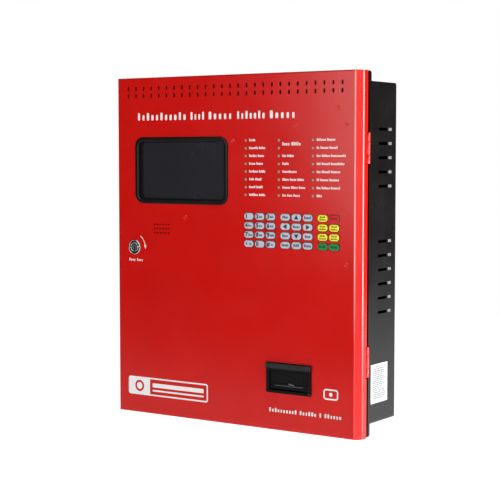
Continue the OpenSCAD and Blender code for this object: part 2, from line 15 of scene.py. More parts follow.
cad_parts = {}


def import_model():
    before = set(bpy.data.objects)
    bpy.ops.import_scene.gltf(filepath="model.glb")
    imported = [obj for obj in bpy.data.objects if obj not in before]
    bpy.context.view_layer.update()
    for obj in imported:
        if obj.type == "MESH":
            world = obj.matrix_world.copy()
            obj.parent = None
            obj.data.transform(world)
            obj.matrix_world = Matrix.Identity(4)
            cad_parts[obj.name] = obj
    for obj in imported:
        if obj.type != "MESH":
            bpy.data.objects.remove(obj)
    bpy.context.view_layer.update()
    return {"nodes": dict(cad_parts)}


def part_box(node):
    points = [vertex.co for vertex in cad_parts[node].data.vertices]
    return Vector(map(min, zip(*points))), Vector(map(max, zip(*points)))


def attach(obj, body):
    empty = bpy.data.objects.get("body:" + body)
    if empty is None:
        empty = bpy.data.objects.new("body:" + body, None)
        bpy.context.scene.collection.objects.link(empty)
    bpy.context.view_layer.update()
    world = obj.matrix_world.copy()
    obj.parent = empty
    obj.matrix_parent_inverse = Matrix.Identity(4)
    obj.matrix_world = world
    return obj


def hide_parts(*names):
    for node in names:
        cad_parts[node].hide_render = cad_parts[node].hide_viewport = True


MM = 0.001
PRINT_PROUD = 0.04  # how far ink stands off its surface, mm
NOISE_ROUGHNESS = 0.55

# Painted highlights on the door's two upright folds near its right edge, standing in for light
# caught there: how far
#  in from that edge, how far behind the front, how pale the line gets, and the height above which it
#  shows, in metres.
FOLD_HIGHLIGHTS = ((0.00795, 0.0006, 0.5, -0.06), (0.0009, 0.0106, 0.72, -0.12))
FOLD_HIGHLIGHT_REACH = 0.0000014  # the square of how far a painted fold highlight fades out, m2
FOLD_HIGHLIGHT_FADE = 0.06  # half the height over which it starts, m

FONT_SIZE = 1.4  # the font's size for a digit of height 1
STROKE_GAIN = 0.4  # how much its strokes are thickened, mm
TALL_SHARE, SHORT_LETTER = 0.22, 0.72  # share of tall stand-in letters, and the others' height
WORD_GAP = 0.75  # extra space after a stand-in word, as a share of its pitch

WELD = 0.001  # points of a piece closer than this become one, mm
FLAT_ANGLE = 0.5  # neighbouring faces merge below this angle, degrees
SHARP_ANGLE = 35  # edges are rounded above this angle, degrees


# ---------------------------------------------------------------- materials


def srgb(r, g, b):
    """An 8-bit colour as the linear RGBA that shaders take."""
    def linear(c):
        c /= 255
        return c / 12.92 if c <= 0.04045 else ((c + 0.055) / 1.055) ** 2.4
    return (linear(r), linear(g), linear(b), 1.0)


class Finish:
    """One procedural material: a Principled shader, and helpers that wire patterns into it."""

    def __init__(self, name, **settings):
        self.material = bpy.data.materials.new(name)
        self.material.use_nodes = True
        self.tree = self.material.node_tree
        self.shader = self.tree.nodes["Principled BSDF"]
        self.place = self.tree.nodes.new("ShaderNodeTexCoord").outputs["Object"]
        self.normal = None
        for socket, value in settings.items():
            self.shader.inputs[socket.replace("_", " ")].default_value = value

    def node(self, kind, *links, **settings):
        """Adds a node; links are (input, output to take) pairs."""
        n = self.tree.nodes.new(kind)
        for key, value in settings.items():
            setattr(n, key, value)
        for socket, source in links:
            self.tree.links.new(source, n.inputs[socket])
        return n

    def noise(self, size, detail=3.0, stretch=(1, 1, 1), seed=0.0):
        """Noise whose blobs are about size metres across, from 0 to 1."""
        mapping = self.node("ShaderNodeMapping", ("Vector", self.place))
        mapping.inputs["Location"].default_value = (seed, seed * 0.7, seed * 1.3)
        mapping.inputs["Scale"].default_value = stretch
        n = self.node("ShaderNodeTexNoise", ("Vector", mapping.outputs[0]))
        n.inputs["Scale"].default_value = 1 / size
        n.inputs["Detail"].default_value = detail
        n.inputs["Roughness"].default_value = NOISE_ROUGHNESS
        return n.outputs["Fac"]

    def cells(self, size, feature, stretch):
        """Distances in a pattern of cells about size metres across."""
        mapping = self.node("ShaderNodeMapping", ("Vector", self.place))
        mapping.inputs["Scale"].default_value = stretch
        n = self.node("ShaderNodeTexVoronoi", ("Vector", mapping.outputs[0]), feature=feature)
        n.inputs["Scale"].default_value = 1 / size
        return n.outputs["Distance"]

    def spread(self, source, low, high, start=0.3, end=0.7):
        """source's range start to end becomes low to high."""
        n = self.node("ShaderNodeMapRange", ("Value", source))
        for socket, value in (("From Min", start), ("From Max", end),
                              ("To Min", low), ("To Max", high)):
            n.inputs[socket].default_value = value
        return n.outputs["Result"]

    def ramp(self, source, *stops):
        """Colour ramp; stops are (position, colour)."""
        n = self.node("ShaderNodeValToRGB", ("Fac", source))
        elements = n.color_ramp.elements
        while len(elements) < len(stops):
            elements.new(0.5)
        for element, (position, colour) in zip(elements, stops):
            element.position = position
            element.color = colour
        return n.outputs["Color"]

    def mix(self, factor, a, b):
        """Colour a where factor is 0 and b where it is 1; each is a colour or an output."""
        n = self.node("ShaderNodeMix", ("Factor", factor), data_type="RGBA")
        for socket, value in ((n.inputs[6], a), (n.inputs[7], b)):
            if isinstance(value, tuple):
                socket.default_value = value
            else:
                self.tree.links.new(value, socket)
        return n.outputs[2]

    def combine(self, operation, a, b):
        """Applies a Math operation to an output and another output or a number."""
        n = self.node("ShaderNodeMath", (0, a), operation=operation)
        if isinstance(b, float):
            n.inputs[1].default_value = b
        else:
            self.tree.links.new(b, n.inputs[1])
        return n.outputs[0]

    def set(self, socket, source):
        """Feeds an output into one of the shader's sockets."""
        self.tree.links.new(source, self.shader.inputs[socket])

    def bump(self, height, depth):
        """Adds relief of that depth in metres, on top of any relief so far."""
        n = self.node("ShaderNodeBump", ("Height", height))
        n.inputs["Distance"].default_value = depth
        if self.normal is not None:
            self.tree.links.new(self.normal, n.inputs["Normal"])
        self.normal = n.outputs["Normal"]
        self.tree.links.new(self.normal, self.shader.inputs["Normal"])


def powder_coat(name, dark, light, rough, depth, fold_highlight_colour=None, **settings):
    """Baked powder paint: faint clouding, fine orange peel and a few duller patches.
    depth is the orange peel's, in metres, and the colour after it is that of a painted highlight on
    the door's folds, if any."""
    grain = 0.0011
    f = Finish(name, **settings)
    colour = f.ramp(f.noise(0.09, 4), (0.3, dark), (0.7, light))
    # where a fold colour is given, this adds the painted highlight on the door's folds
    f.set("Base Color", painted_fold_highlights(f, colour, fold_highlight_colour) if fold_highlight_colour else colour)
    f.set("Roughness", f.spread(f.noise(0.045, 5, seed=3.1), *rough))
    f.bump(f.noise(grain, 2, seed=1.7), depth)
    f.bump(f.noise(grain * 7, 1, seed=5.2), depth * 2.2)
    return f.material


def painted_fold_highlights(f, base, highlight_colour):
    """Paints a thin pale line on the door's two upright folds, a painted highlight for light caught
    on them.
    """
    low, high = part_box("door_panel")
    across = f.node("ShaderNodeSeparateXYZ", ("Vector", f.place))
    patchy = f.spread(f.noise(0.012, 3, stretch=(1, 1, 0.3), seed=9.0), 0.75, 1.0)
    for inset, behind, strength, highlight_above in FOLD_HIGHLIGHTS:
        away = []
        for socket, value in (("X", high.x - inset), ("Y", low.y + behind)):
            shift = f.combine("SUBTRACT", across.outputs[socket], value)
            away.append(f.combine("MULTIPLY", shift, shift))
        near = f.spread(f.combine("ADD", *away), strength, 0, 0.0, FOLD_HIGHLIGHT_REACH)
        start, end = highlight_above - FOLD_HIGHLIGHT_FADE, highlight_above + FOLD_HIGHLIGHT_FADE
        # the painted highlight fades in above this height, where the folds catch the light
        upper = f.spread(across.outputs["Z"], 0.09, 1.0, start, end)
        line = f.combine("MULTIPLY", f.combine("MULTIPLY", near, patchy), upper)
        base = f.mix(line, base, highlight_colour)
    return base


def moulded(name, dark, light, rough, grain=0.0006, depth=0.00002, **settings):
    """Moulded plastic or rubber with a fine spark-eroded texture."""
    f = Finish(name, **settings)
    f.set("Base Color", f.ramp(f.noise(0.03, 4), (0.35, dark), (0.65, light)))
    f.set("Roughness", f.spread(f.noise(0.012, 4, seed=2.3), *rough))
    f.bump(f.noise(grain, 2, seed=4.4), depth)
    return f.material


def metal(name, dark, light, rough, brushed=(1, 1, 1)):
    """Bare or plated metal, brushed along the axis whose stretch is small."""
    f = Finish(name, Metallic=1.0)
    f.set("Base Color", f.ramp(f.noise(0.02, 5, stretch=brushed), (0.3, dark), (0.7, light)))
    f.set("Roughness", f.spread(f.noise(0.006, 4, stretch=brushed, seed=6.0), *rough))
    f.bump(f.noise(0.002, 3, stretch=brushed, seed=7.7), 0.000004)
    return f.material


def circuit_board():
    """Green solder mask over copper tracks, with plated dots."""
    f = Finish("circuit_board")
    tracks = f.cells(0.0065, "DISTANCE_TO_EDGE", stretch=(1, 0.01, 1.6))
    mask = f.mix(f.spread(tracks, 0, 1, 0.02, 0.05), srgb(34, 112, 62), srgb(16, 74, 42))
    dots = f.cells(0.0042, "F1", stretch=(1, 0.01, 1))
    f.set("Base Color", f.mix(f.spread(dots, 1, 0, 0.12, 0.16), mask, srgb(176, 168, 140)))
    f.set("Roughness", f.spread(f.noise(0.01, 4), 0.3, 0.42))
    f.bump(tracks, 0.00003)
    return f.material


def paper():
    """Plain white till paper with a faint fibre."""
    dark, light = srgb(236, 233, 226), srgb(247, 245, 240)
    f = Finish("paper", Roughness=0.9)
    f.set("Base Color", f.ramp(f.noise(0.004, 5), (0.3, dark), (0.7, light)))
    f.bump(f.noise(0.0004, 4), 0.00001)
    return f.material


def lamp_lens():
    """Unlit water-clear lens over a mint chip."""
    dark, light = srgb(16, 186, 142), srgb(48, 208, 166)
    f = Finish("lamp_lens", Coat_Weight=1.0, Coat_Roughness=0.05)
    f.set("Base Color", f.ramp(f.noise(0.0012, 2), (0.35, dark), (0.65, light)))
    f.set("Roughness", f.spread(f.noise(0.002, 2, seed=2.0), 0.18, 0.3))
    f.bump(f.noise(0.0009, 1), 0.00001)
    return f.material


def smoked_glass():
    """The display behind its cover: dark, smooth and a little uneven from dust."""
    dark, light = srgb(33, 33, 38), srgb(38, 38, 43)
    f = Finish("smoked_glass", Specular_IOR_Level=0.3)
    f.set("Base Color", f.ramp(f.noise(0.2, 2), (0.35, dark), (0.65, light)))
    f.set("Roughness", f.spread(f.noise(0.05, 5, seed=1.1), 0.24, 0.28))
    f.bump(f.noise(0.06, 2), 0.000004)
    return f.material


def ink(name, dark, light):
    """Screen-printed ink, slightly mottled."""
    f = Finish(name)
    f.set("Base Color", f.ramp(f.noise(0.0015, 3), (0.3, dark), (0.7, light)))
    f.set("Roughness", f.spread(f.noise(0.004, 3, seed=8.0), 0.42, 0.55))
    return f.material


def make_finishes():
    """Every material by its name. A slot that a CAD node or piece asks for is one of these."""
    keys = {"rough": (0.5, 0.6), "grain": 0.0004}
    return {
        # red_paint carries the painted fold highlight: a pale colour for light caught on the door's
        # folds
        "red_paint": powder_coat(
            "red_paint", srgb(203, 14, 8), srgb(209, 18, 11), (0.16, 0.21), 0.000005,
            fold_highlight_colour=srgb(255, 214, 206)),
        "black_paint": powder_coat(
            "black_paint", srgb(12, 10, 10), srgb(17, 14, 14), (0.2, 0.28), 0.000008,
            Specular_IOR_Level=0.35),
        "black_plastic": moulded(
            "black_plastic", srgb(10, 9, 10), srgb(13, 12, 13), (0.32, 0.42),
            Specular_IOR_Level=0.16),
        "zinc_steel": metal("zinc_steel", srgb(168, 170, 172), srgb(200, 202, 204), (0.32, 0.5)),
        "circuit_board": circuit_board(),
        "green_plastic": moulded(
            "green_plastic", srgb(34, 118, 62), srgb(46, 134, 76), (0.4, 0.55)),
        "supply_case": metal(
            "supply_case", srgb(178, 181, 183), srgb(205, 207, 209), (0.35, 0.5),
            brushed=(0.06, 1, 1)),
        "battery_case": moulded(
            "battery_case", srgb(44, 46, 50), srgb(54, 56, 60), (0.5, 0.62), grain=0.0012),
        "foam": moulded(
            "foam", srgb(20, 20, 20), srgb(34, 34, 34), (0.9, 0.98), grain=0.0009, depth=0.00015),
        "window_glass": smoked_glass(),
        "module_metal": metal(
            "module_metal", srgb(132, 136, 140), srgb(160, 164, 168), (0.35, 0.5)),
        "surround": moulded(
            "surround", srgb(7, 7, 8), srgb(10, 10, 11), (0.3, 0.36), depth=0.0000006,
            Specular_IOR_Level=0.25),
        "bar_plastic": moulded("bar_plastic", srgb(31, 30, 31), srgb(38, 37, 38), (0.26, 0.34)),
        "tan_ceramic": moulded(
            "tan_ceramic", srgb(176, 148, 104), srgb(194, 166, 122), (0.4, 0.55)),
        "lamp_lens": lamp_lens(),
        "lock_chrome": metal("lock_chrome", srgb(196, 200, 198), srgb(216, 219, 217), (0.1, 0.18)),
        "lock_shadow": metal("lock_shadow", srgb(60, 66, 62), srgb(76, 82, 78), (0.2, 0.3)),
        "lock_steel": metal("lock_steel", srgb(138, 138, 136), srgb(160, 160, 158), (0.22, 0.34)),
        "dark_metal": metal("dark_metal", srgb(66, 67, 70), srgb(86, 87, 90), (0.4, 0.55)),
        "cutter_steel": metal("cutter_steel", srgb(112, 112, 113), srgb(132, 132, 133), (0.3, 0.4)),
        "platen_rubber": moulded("platen_rubber", srgb(58, 59, 62), srgb(72, 73, 76), (0.7, 0.8)),
        "paper": paper(),
        "key_grey": moulded("key_grey", srgb(184, 191, 204), srgb(194, 201, 213), **keys),
        "key_yellow": moulded("key_yellow", srgb(248, 236, 24), srgb(255, 244, 34), **keys),
        "key_red": moulded(
            "key_red", srgb(206, 18, 24), srgb(216, 24, 30), Specular_IOR_Level=0.25, **keys),
        "key_green": moulded(
            "key_green", srgb(0, 134, 56), srgb(6, 146, 62), Specular_IOR_Level=0.25, **keys),
        "key_rubber": moulded(
            "key_rubber", srgb(70, 73, 80), srgb(84, 88, 96), (0.45, 0.55), grain=0.0004),
        "white_ink": ink("white_ink", srgb(238, 236, 234), srgb(250, 249, 248)),
        "dark_ink": ink("dark_ink", srgb(16, 14, 20), srgb(24, 22, 28)),
        "label_stock": ink("label_stock", srgb(190, 191, 193), srgb(198, 199, 201)),
        "label_ink": ink("label_ink", srgb(92, 93, 96), srgb(112, 113, 116)),
    }


# ---------------------------------------------------------------- mesh building


def rounded_rect(size, r, centre, steps=6):
    """Outline of a rounded rectangle in x and z, counter-clockwise as seen from the front."""
    points = []
    for quarter, (sx, sz) in enumerate(((1, -1), (1, 1), (-1, 1), (-1, -1))):
        cx = centre[0] + sx * (size[0] / 2 - r)
        cz = centre[1] + sz * (size[1] / 2 - r)
        for k in range(steps + 1):
            a = math.pi / 2 * (quarter - 1 + k / steps)
            points.append((cx + r * math.cos(a), cz + r * math.sin(a)))
    return points


def circle(r, centre, steps=32):
    """Outline of a circle in x and z."""
    angles = [2 * math.pi * k / steps for k in range(steps)]
    return [(centre[0] + r * math.cos(a), centre[1] + r * math.sin(a)) for a in angles]


class Piece:
    """A mesh under construction, in millimetres, with one bmesh and a list of materials."""

    def __init__(self, name, *materials):
        self.name = name
        self.materials = materials
        self.bm = bmesh.new()

    def ring(self, outline, y):
        """Adds an outline's points at depth y."""
        return [self.bm.verts.new((x * MM, y * MM, z * MM)) for x, z in outline]

    def bridge(self, a, b, material=0):
        """Joins two rings of equal length by four-sided faces."""
        n = len(a)
        for i in range(n):
            face = self.bm.faces.new((a[i], a[(i + 1) % n], b[(i + 1) % n], b[i]))
            face.material_index = material

    def cap(self, ring, material=0):
        """Closes a ring with one face."""
        self.bm.faces.new(ring).material_index = material

    def loft(self, *stations, material=0):
        """Closed form through (outline, y) stations."""
        rings = [self.ring(outline, y) for outline, y in stations]
        for a, b in zip(rings, rings[1:]):
            self.bridge(a, b, material)
        self.cap(rings[0], material)
        self.cap(rings[-1], material)

    def shell(self, *stations):
        """Hollow frame: the section through the (outline, y) stations closes on itself."""
        rings = [self.ring(outline, y) for outline, y in stations]
        for a, b in zip(rings, rings[1:] + rings[:1]):
            self.bridge(a, b)

    def prism(self, outline, y0, y1, material=0):
        """Solid of one outline from y0 to y1."""
        self.loft((outline, y1), (outline, y0), material=material)

    def frame(self, outer, inner, y0, y1, material=0):
        """Flat ring between two outlines with the same number of points."""
        a0, a1 = self.ring(outer, y0), self.ring(outer, y1)
        b0, b1 = self.ring(inner, y0), self.ring(inner, y1)
        for pair in ((a0, a1), (a1, b1), (b1, b0), (b0, a0)):
            self.bridge(*pair, material)

    def lathe(self, profile, centre, material=0, steps=64):
        """Turns a profile of (radius, y) about the y axis through centre (x, z)."""
        rings = []
        for r, y in profile:
            if r < 1e-6:
                rings.append([self.bm.verts.new((centre[0] * MM, y * MM, centre[1] * MM))])
            else:
                rings.append(self.ring(circle(r, centre, steps), y))
        for a, b in zip(rings, rings[1:]):
            if len(a) == 1 or len(b) == 1:
                tip, rim = (a, b) if len(a) == 1 else (b, a)
                for i in range(steps):
                    face = self.bm.faces.new((tip[0], rim[i], rim[(i + 1) % steps]))
                    face.material_index = material
            else:
                self.bridge(a, b, material)

    def finish(self, body, slot=None, smooth=30, replaces=()):
        """Links the mesh as an object that rides on body; edges above smooth degrees stay sharp."""
        bmesh.ops.remove_doubles(self.bm, verts=self.bm.verts, dist=WELD * MM)
        bmesh.ops.recalc_face_normals(self.bm, faces=self.bm.faces)
        mesh = bpy.data.meshes.new(self.name)
        self.bm.to_mesh(mesh)
        self.bm.free()
        for material in self.materials:
            mesh.materials.append(material)
        mesh.shade_smooth()
        mesh.set_sharp_from_angle(angle=math.radians(smooth))
        obj = bpy.data.objects.new(self.name, mesh)
        bpy.context.scene.collection.objects.link(obj)
        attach(obj, body)
        if replaces:
            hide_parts(*replaces)


def soften(obj, width):
    """Rounds the sharp edges of a mesh with modifiers, leaving its own points alone."""
    weld = obj.modifiers.new("weld", "WELD")
    weld.merge_threshold = 0.00001
    merge = obj.modifiers.new("flat_faces", "DECIMATE")
    merge.decimate_type = "DISSOLVE"
    merge.angle_limit = math.radians(FLAT_ANGLE)
    edges = obj.modifiers.new("edges", "BEVEL")
    edges.width = width * MM
    edges.segments = 2
    edges.limit_method = "ANGLE"
    edges.angle_limit = math.radians(SHARP_ANGLE)
    edges.use_clamp_overlap = False
    edges.harden_normals = True


def glyph(piece, text, height, centre, y, material):
    """Adds one generic digit or sign to piece as a thin solid, about height mm tall."""
    curve = bpy.data.curves.new("glyph", "FONT")
    curve.body = text
    curve.align_x = "CENTER"
    curve.align_y = "CENTER"
    curve.size = height * FONT_SIZE * MM
    curve.extrude = PRINT_PROUD * MM
    curve.offset = STROKE_GAIN * MM
    curve.resolution_u = 3
    holder = bpy.data.objects.new("glyph", curve)
    bpy.context.scene.collection.objects.link(holder)
    depsgraph = bpy.context.evaluated_depsgraph_get()
    mesh = bpy.data.meshes.new_from_object(holder.evaluated_get(depsgraph))
    move = Matrix.Translation((centre[0] * MM, y * MM, centre[1] * MM))
    mesh.transform(move @ Matrix.Rotation(math.pi / 2, 4, "X"))
    first = len(piece.bm.faces)
    piece.bm.from_mesh(mesh)
    piece.bm.faces.ensure_lookup_table()
    for face in piece.bm.faces[first:]:
        face.material_index = material
    bpy.data.objects.remove(holder)
    bpy.data.curves.remove(curve)
    bpy.data.meshes.remove(mesh)


def greek_words(piece, words, start, height, pitch, y, seed, fill=0.62, material=0):
    """A line of stand-in words: one rounded block per letter, with no readable letters.
    start is the left end and the baseline in mm, words lists how many letters each word has, and
    fill is a block's usual share of the pitch."""
    draw = random.Random(seed)
    x, base = start
    for count in words:
        for k in range(count):
            tall = k == 0 or draw.random() < TALL_SHARE
            h = height * (1.0 if tall else SHORT_LETTER)
            w = pitch * draw.uniform(fill - 0.08, fill + 0.08)
            outline = rounded_rect((w, h), min(w, h) * 0.35, (x + pitch / 2, base + h / 2), steps=3)
            piece.prism(outline, y - PRINT_PROUD, y, material)
            x += pitch
        x += pitch * WORD_GAP


# ---------------------------------------------------------------- the object


EXACT_NODES = ("door_panel", "back_box", "mounting_plate")
EDGE_WIDTHS = {"red_paint": 0.45, "black_paint": 0.4, "zinc_steel": 0.25, "black_plastic": 0.3}
OTHER_EDGE_WIDTH = 0.2


def dress_cad_nodes(frame, finishes):
    """Gives every carried-over CAD node its procedural finish, and softens the edges of all but the
    large pierced sheets, whose folds are rounded already."""
    for name, obj in frame["nodes"].items():
        slots = [m.name.split(".")[0] for m in obj.data.materials]
        for i, slot_name in enumerate(slots):
            obj.data.materials[i] = finishes[slot_name]
        if name not in EXACT_NODES:
            soften(obj, EDGE_WIDTHS.get(slots[0], OTHER_EDGE_WIDTH))


def spot_of(node):
    """Centre of a CAD node in x and z, with its low and high corners, in mm."""
    low, high = (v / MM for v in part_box(node))
    return ((low.x + high.x) / 2, (low.z + high.z) / 2), low, high


KEY_ORDER = {
    "digits": ["1", "2", "3", "4", "5", "6", "7", "8", "9", "star", "0", "hash"],
    "menu": ["mute", "up", "print", "left", "enter", "right",
             "back", "down", "page", "start", "menu", "cancel"],
    "commands": ["check", "stop", "sounder", "relay", "zone", "record", "test", "reset"],
}
KEY_NAMES = sum(KEY_ORDER.values(), [])
KEY_COLOURS = {
    **{name: "key_yellow" for name in KEY_ORDER["commands"]},
    "stop": "key_red", "test": "key_green", "reset": "key_green",
}
ARROWS = {"up": 90, "down": -90, "left": 180, "right": 0}
ARROW_CORNERS = ((3.7, 0), (-2.5, 3.6), (-2.5, -3.6))
DIGIT_HEIGHT, DIGIT_LEFT = 5.8, 3.8  # how tall a digit is, and how far left of the key's centre
STAR_RADII = (0.8, 2.2)
KEY_LETTERS = {"1": 0, "0": 0, "7": 4, "9": 4, "star": 2, "hash": 2}  # beside a digit, if not 3
KEYCAP_SIZE, KEYCAP_CORNER = (15.7, 9.5), 4.1
# The cap's section from its rim to the middle of its top: inset, and depth behind the front.
KEYCAP_SECTION = ((0, 0.8), (0.05, 0.55), (0.18, 0.34), (0.4, 0.18), (0.75, 0.07), (1.3, 0.02),
                  (2.4, 0))
KEYCAP_PLAIN_BANDS = 3  # the bands from the back that keep the rubber's own colour
FLANGE_FRONT, FLANGE_BACK = 2.5, 1.5  # how far the hidden flange is in front of the plunger's back


def key_legend(piece, name, centre, y, ink_slot=2):
    """Digits and arrows as they are; words as stand-in blocks."""
    x, z = centre

    def words(count, dx, dz, height, pitch, seed=name):
        greek_words(piece, [count], (x + dx, z + dz), height, pitch, y, seed, 0.74, ink_slot)

    if name in ARROWS:
        a = math.radians(ARROWS[name])
        outline = [(x + u * math.cos(a) - v * math.sin(a), z + u * math.sin(a) + v * math.cos(a))
                   for u, v in ARROW_CORNERS]
        piece.prism(outline, y - PRINT_PROUD, y, ink_slot)
    elif name in KEY_ORDER["digits"]:
        if name == "star":
            star = [(STAR_RADII[k % 2], math.radians(30 * k)) for k in range(12)]
            outline = [(x - DIGIT_LEFT + r * math.cos(a), z + r * math.sin(a)) for r, a in star]
            piece.prism(outline, y - PRINT_PROUD, y, ink_slot)
        else:
            sign = "#" if name == "hash" else name
            glyph(piece, sign, DIGIT_HEIGHT, (x - DIGIT_LEFT, z), y, ink_slot)
        letters = KEY_LETTERS.get(name, 3)
        if letters:
            words(letters, 1.0 if name in ("star", "hash") else -0.9, -1.7, 3.0, 1.9)
    elif name in KEY_ORDER["menu"]:
        count = min(len(name), 5)
        words(count, -count * 1.15, -1.7, 3.9, 2.3)
    elif name in ("stop", "test", "reset"):
        words(5, -5.4, -1.8, 4.0, 2.15)
    else:
        words(5, -4.4, 0.5, 2.7, 1.75)
        words(6, -5.2, -3.1, 2.7, 1.75, seed=name + "2")


def build_keys(finishes):
    """Rubber keys: a soft-edged cap with a printed top, on a hidden flange and plunger."""
    for name in KEY_NAMES:
        node = "key_" + name
        centre, low, high = spot_of(node)
        front, back = low.y, high.y
        slot = KEY_COLOURS.get(name, "key_grey")

        def at(inset, y):
            size = (KEYCAP_SIZE[0] - 2 * inset, KEYCAP_SIZE[1] - 2 * inset)
            return rounded_rect(size, KEYCAP_CORNER - inset, centre), y

        piece = Piece(
            "keycap_" + name, finishes["key_rubber"], finishes[slot], finishes["dark_ink"])
        rings = [piece.ring(*at(0, back - FLANGE_FRONT))]
        rings += [piece.ring(*at(inset, front + depth)) for inset, depth in KEYCAP_SECTION]
        for i, (a, b) in enumerate(zip(rings, rings[1:])):
            piece.bridge(a, b, 0 if i < KEYCAP_PLAIN_BANDS else 1)
        piece.cap(rings[0])
        piece.cap(rings[-1], 1)
        flange = (high.x - low.x, high.z - low.z)
        piece.prism(rounded_rect(flange, 1.6, centre), back - FLANGE_FRONT, back - FLANGE_BACK)
        piece.prism(rounded_rect((4, 4), 0.8, centre), back - FLANGE_BACK, back)
        key_legend(piece, name, centre, front + 0.01)
        piece.finish(node, slot, smooth=50, replaces=[node])


LAMP_COLUMNS = (23.8, 79.4, 135.0)
LAMP_TOP, LAMP_STEP = 156.7, 10.95
# Letters in each stand-in word beside each lamp, column by column.
LAMP_LEGENDS = (
    ([5], [7, 5], [6, 5], [5, 5], [7, 5], [4, 5], [5, 5], [7, 5]),
    ([], [], [3, 5], [5], [11], [5, 5, 5], [6, 5, 5], [3, 4, 5]),
    ([7, 6], [2, 6, 6], [3, 6, 11], [3, 6, 10], [3, 6, 7], [2, 6, 7], [3, 6, 7], [4]),
)


def build_prints(finishes, door_y):
    """White prints on the door: title, lamp legends, captions and a plain badge."""
    white = finishes["white_ink"]
    legends = Piece("lamp_legends", white)
    for column, (x, rows) in enumerate(zip(LAMP_COLUMNS, LAMP_LEGENDS)):
        for row, words in enumerate(rows):
            start = (x + 5.7, LAMP_TOP - row * LAMP_STEP - 1.3)
            greek_words(legends, words, start, 3.5, 2.14, door_y, f"{column}-{row}", fill=0.72)
    heading = (LAMP_COLUMNS[1] + 5.2, 149.2)
    greek_words(legends, [4, 5], heading, 4.8, 3.15, door_y, "alarm", fill=0.62)
    legends.finish("door")

    captions = Piece("door_captions", white)
    greek_words(captions, [4, 4], (-188.2, -21.8), 4.2, 3.05, door_y, "lock", fill=0.55)
    greek_words(captions, [10, 6, 1, 6], (62.9, -224.2), 5.8, 4.72, door_y, "lower", fill=0.5)
    captions.finish("door")

    mark = Piece("plain_mark", white)
    spot = (164.6, -191.0)
    outer, inner = rounded_rect((23.4, 15.0), 4.2, spot), rounded_rect((19.4, 11.0), 2.2, spot)
    mark.frame(outer, inner, door_y - PRINT_PROUD, door_y)
    mark.prism(circle(2.7, spot, 24), door_y - PRINT_PROUD, door_y)
    mark.finish("door")

    build_title(white, door_y)
    build_badge(finishes, door_y)
    build_lock_arrow(white, door_y)


TITLE_WORDS = ((-172.0, -79.4, 11), (-74.4, -46.9, 4), (-42.5, 1.4, 5), (7.2, 57.4, 7),
               (62.4, 107.6, 5))
TITLE_BASE, TITLE_HEIGHT = 187.0, 11.0


def build_title(white, door_y):
    """The heading as stand-in words, each given by its two ends and its number of letters."""
    piece = Piece("title_marks", white)
    for x0, x1, count in TITLE_WORDS:
        greek_words(piece, [count], (x0, TITLE_BASE), TITLE_HEIGHT, (x1 - x0) / count, door_y,
                    f"title{count}", fill=0.46)
    piece.finish("door")


BADGE_LEFT, BADGE_RIGHT, BADGE_FOOT, BADGE_TOP = -190.1, -42.9, -222.8, -195.8
BADGE_LINE = 2.1
BADGE_BLOCK_RIGHT = -149.6  # where the white block with the ring ends
BADGE_BARS = ((6.2, 1.2, 2.6), (2.4, 0.8, -5.4))  # height, corner, and shift up from the middle
OVERLAP_PROUD = 0.012  # keeps prints that cross from lying in one plane


def build_badge(finishes, door_y):
    """A neutral name plate: white outline, white block with a red ring, and two plain bars."""
    middle = (BADGE_FOOT + BADGE_TOP) / 2
    centre = ((BADGE_LEFT + BADGE_RIGHT) / 2, middle)
    size = (BADGE_RIGHT - BADGE_LEFT, BADGE_TOP - BADGE_FOOT)
    hollow = (size[0] - 2 * BADGE_LINE, size[1] - 2 * BADGE_LINE)
    y0 = door_y - PRINT_PROUD
    piece = Piece("badge_print", finishes["white_ink"])
    piece.frame(rounded_rect(size, 3.6, centre), rounded_rect(hollow, 1.8, centre), y0, door_y)
    block_left = BADGE_LEFT + BADGE_LINE / 2
    ring = ((block_left + BADGE_BLOCK_RIGHT) / 2, middle)
    piece.frame(rounded_rect((BADGE_BLOCK_RIGHT - block_left, size[1] - BADGE_LINE), 0.8, ring, 8),
                rounded_rect((17.0, 17.0), 8.4, ring, 8), y0 - OVERLAP_PROUD, door_y)
    piece.prism(circle(5.2, ring), y0, door_y)
    for height, corner, up in BADGE_BARS:
        piece.prism(rounded_rect((94, height), corner, (-97.6, middle + up)), y0, door_y)
    piece.finish("door")


def build_lock_arrow(white, door_y):
    """Curved arrow round the lock that shows which way the key turns."""
    cx, cz = spot_of("lock_plug")[0][0], -1.0
    radius, half, start, end, steps = 19.7, 0.5, 58, 9, 16
    arc = [math.radians(start + (end - start) * k / steps) for k in range(steps + 1)]
    outline = [(cx + r * math.cos(a), cz + r * math.sin(a))
               for r, angles in ((radius + half, arc), (radius - half, arc[::-1])) for a in angles]
    piece = Piece("lock_arrow", white)
    piece.prism(outline, door_y - PRINT_PROUD, door_y)
    a = arc[-1]
    tip = Vector((cx + radius * math.cos(a), cz + radius * math.sin(a)))
    along, out = Vector((math.sin(a), -math.cos(a))), Vector((math.cos(a), math.sin(a)))
    head = [tip - along * 0.4 - out * 2.1, tip + along * 5.4, tip - along * 0.4 + out * 2.1]
    piece.prism([(p.x, p.y) for p in head], door_y - PRINT_PROUD, door_y)
    piece.finish("door")


# The surround's lip inwards from the door's hole: inset, and height above the door's front.
SURROUND_LIP = ((0, 0.5), (0.25, 1.1), (0.8, 1.5), (1.8, 1.7), (4.4, 1.7), (5.6, 1.5), (6.5, 1.0),
                (6.9, 0.2))
SURROUND_REBATE, SURROUND_CORNER = 12.3, 13.8  # flange less hole, and the hole's corner radius
SCREEN_INSET, MASK_INSET = 6.2, 6.4


